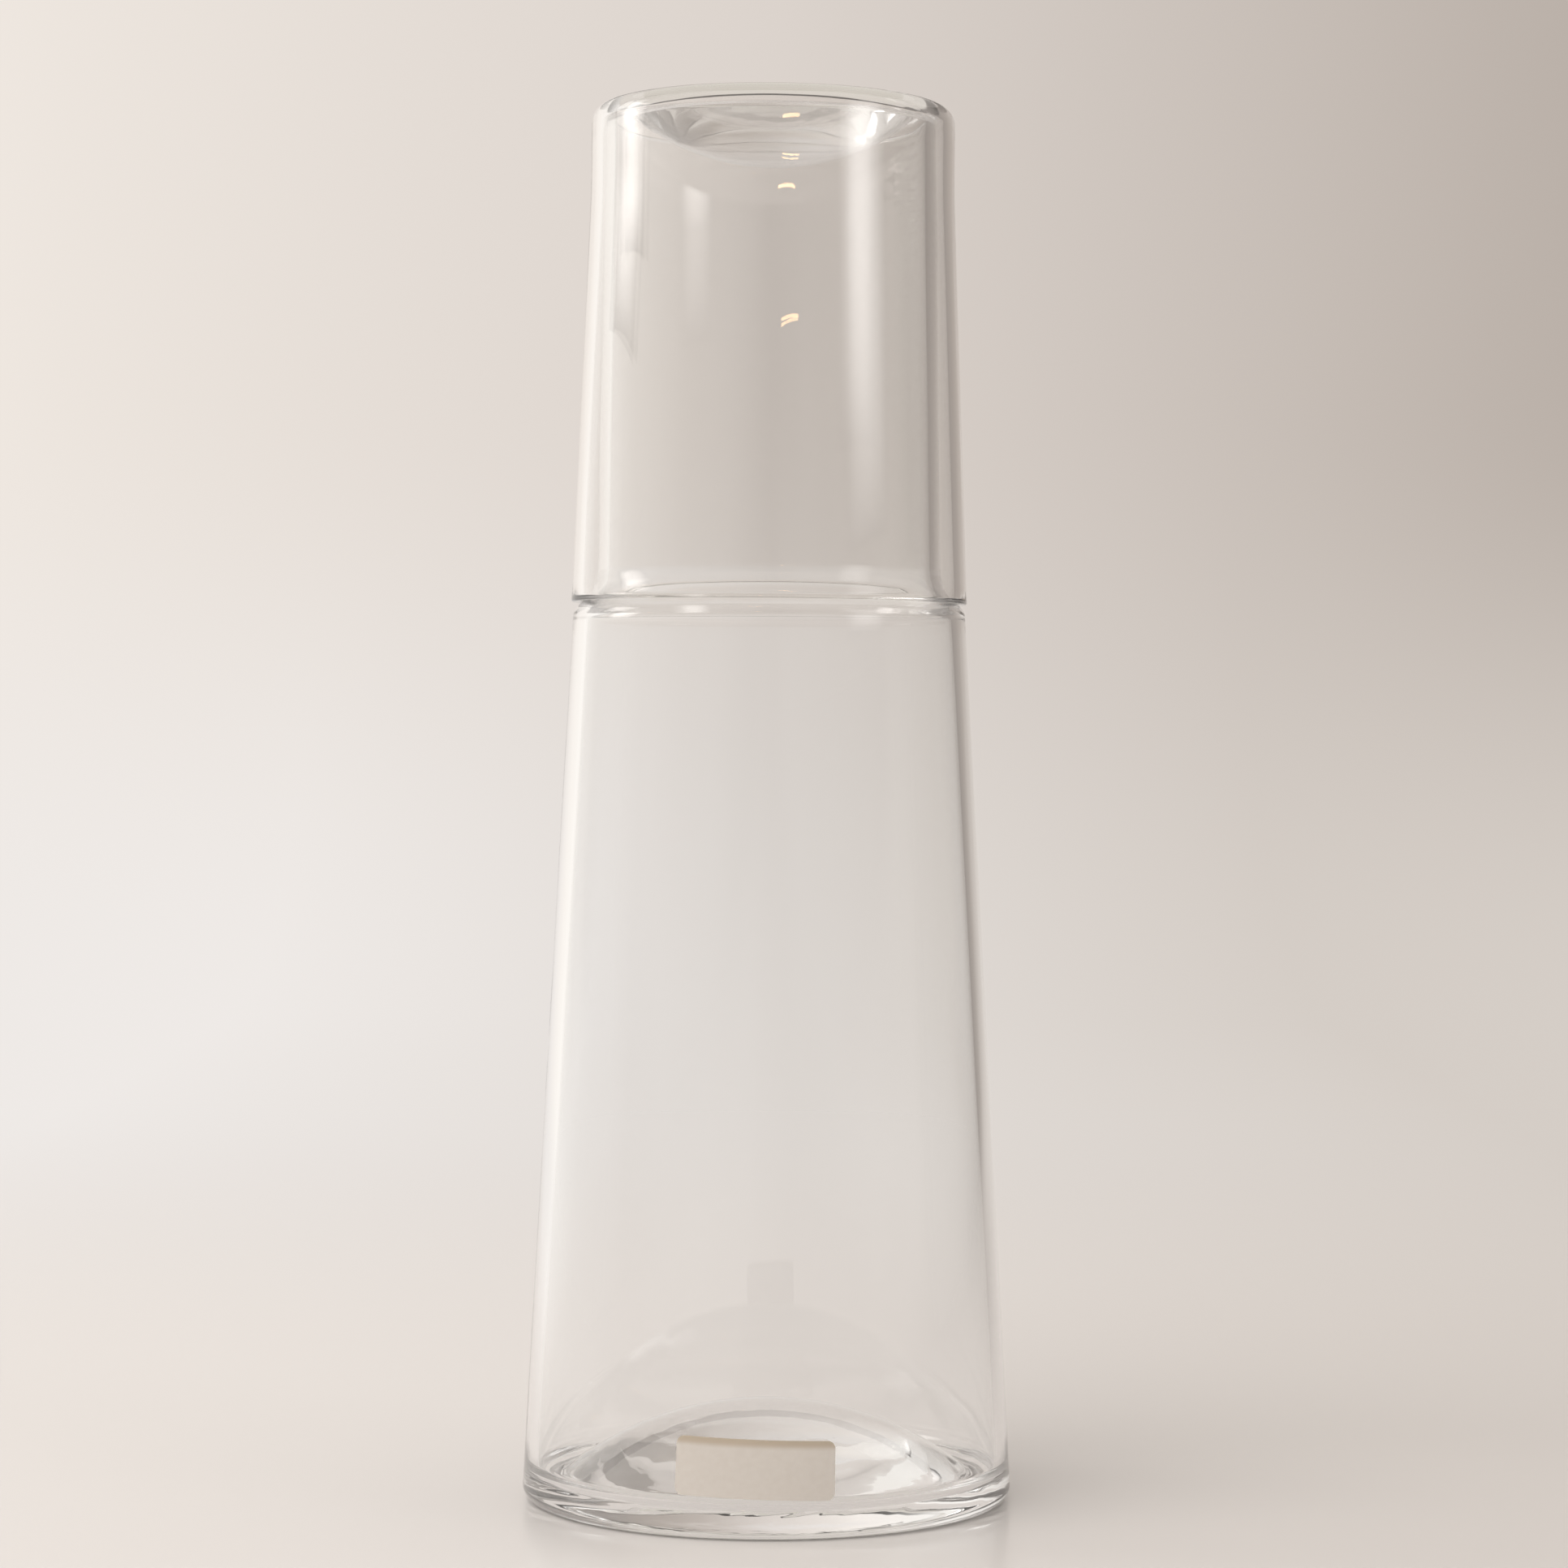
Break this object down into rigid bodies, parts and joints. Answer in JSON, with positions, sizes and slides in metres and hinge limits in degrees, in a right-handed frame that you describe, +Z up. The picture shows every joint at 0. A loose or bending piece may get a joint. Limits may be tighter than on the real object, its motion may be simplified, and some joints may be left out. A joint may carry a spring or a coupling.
{
  "type": "glass carafe with tumbler",
  "caption": "Tapered clear blown-glass carafe with a straight neck and a sloping shoulder; its tumbler stands upside down over the neck as a lid, with a small bare paper label at the foot.",
  "frame": {"origin": "middle of the carafe's standing ring, at the surface it stands on", "axes": "+Z up along the common axis of the carafe and the tumbler, -Y towards the label at the front, +X to the right as seen from the front"},
  "size_m": [0.085, 0.0852, 0.242],
  "materials": {
    "carafe_glass": "clear blown glass, polished by the fire, near colourless with a faint green-grey in the thick base",
    "tumbler_glass": "clear blown glass, polished by the fire, thinner than the carafe and near colourless",
    "label_paper": "cream satin paper, a little see-through, with a browner strip along its upper edge"
  },
  "bodies": {
    "carafe": {"carafe": "carafe_glass", "label": "label_paper"},
    "tumbler": {"tumbler": "tumbler_glass"}
  },
  "joints": [
    {"name": "tumbler_lift", "type": "slide", "parent": "carafe", "child": "tumbler", "axis": [0, 0, 1], "range_m": [0, 0.11]}
  ]
}
